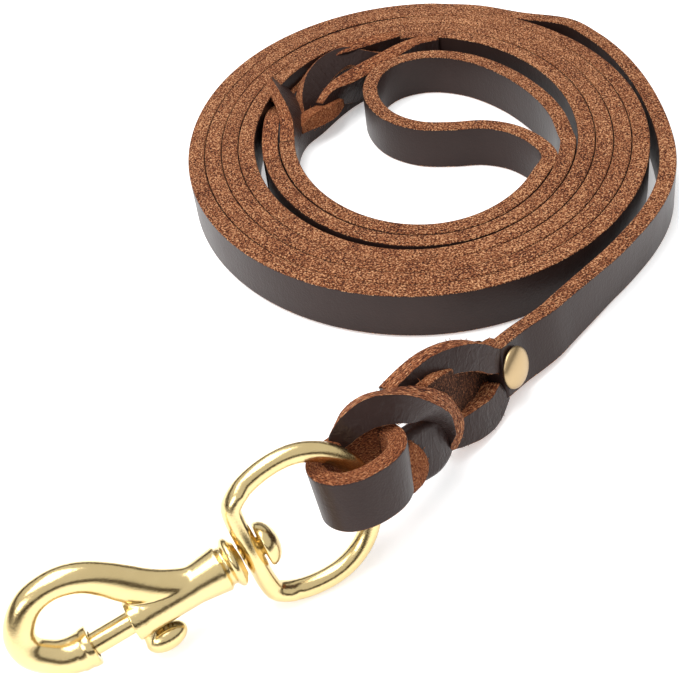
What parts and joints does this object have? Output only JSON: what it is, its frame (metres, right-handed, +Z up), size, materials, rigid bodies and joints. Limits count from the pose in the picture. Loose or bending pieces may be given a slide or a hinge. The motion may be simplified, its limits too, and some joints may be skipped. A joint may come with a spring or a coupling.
{
  "type": "training leash",
  "caption": "Flat leather dog training lead wound into a coil, with braided hand loop, riveted braided end and a brass swivel eye bolt snap.",
  "frame": {"origin": "middle of the ground rectangle under the whole lead, with the coil lying flat on the ground", "axes": "+Z up, the strap stands on its edge along Z; +Y from the snap hook towards the far side of the coil; +X towards the side where the lead leaves the coil"},
  "size_m": [0.1692, 0.245, 0.0313],
  "materials": {
    "leather": "satin dark brown grain with rust-brown cut edges",
    "snap_brass": "polished cast",
    "rivet_brass": "satin",
    "spring_steel": "drawn wire"
  },
  "bodies": {
    "leather": {"rivet_cap": "rivet_brass", "rivet_shank": "rivet_brass", "rivet_burr": "rivet_brass", "riveted_strap_end": "leather", "snap_braid_upper_leg": "leather", "snap_braid_lower_leg": "leather", "snap_braid_lower_strand": "leather", "snap_braid_crossing_strand": "leather", "snap_loop": "leather", "coil_turn_1": "leather", "coil_turn_2": "leather", "coil_turn_3": "leather", "coil_turn_4": "leather", "coil_inner_run": "leather", "hand_braid_outer_upper_strand": "leather", "hand_braid_outer_lower_strand": "leather", "hand_braid_inner_upper_strand": "leather", "hand_braid_inner_lower_strand": "leather", "strap_tail": "leather", "hand_loop": "leather", "lead_strap": "leather"},
    "eye": {"swivel_eye": "snap_brass"},
    "snap": {"snap_body": "snap_brass", "swivel_pin": "snap_brass", "bolt_spring": "spring_steel"},
    "bolt": {"bolt": "snap_brass", "thumb_knob": "snap_brass"}
  },
  "joints": [
    {"name": "eye_swing", "type": "hinge", "parent": "leather", "child": "eye", "pos_m": [-0.0148, -0.0953, 0.0178], "axis": [-0.2642, 0.2641, 0.9276], "range_deg": [-15, 15]},
    {"name": "swivel", "type": "hinge", "parent": "eye", "child": "snap", "pos_m": [-0.03811, -0.10461, 0.0138], "axis": [-0.9197, -0.3586, -0.1599], "continuous": true},
    {"name": "bolt_slide", "type": "slide", "parent": "snap", "child": "bolt", "axis": [0.9197, 0.3586, 0.1599], "range_m": [0, 0.01], "stiffness_N_per_m": 400, "springref_m": -0.003, "deforming": ["bolt_spring"]}
  ]
}
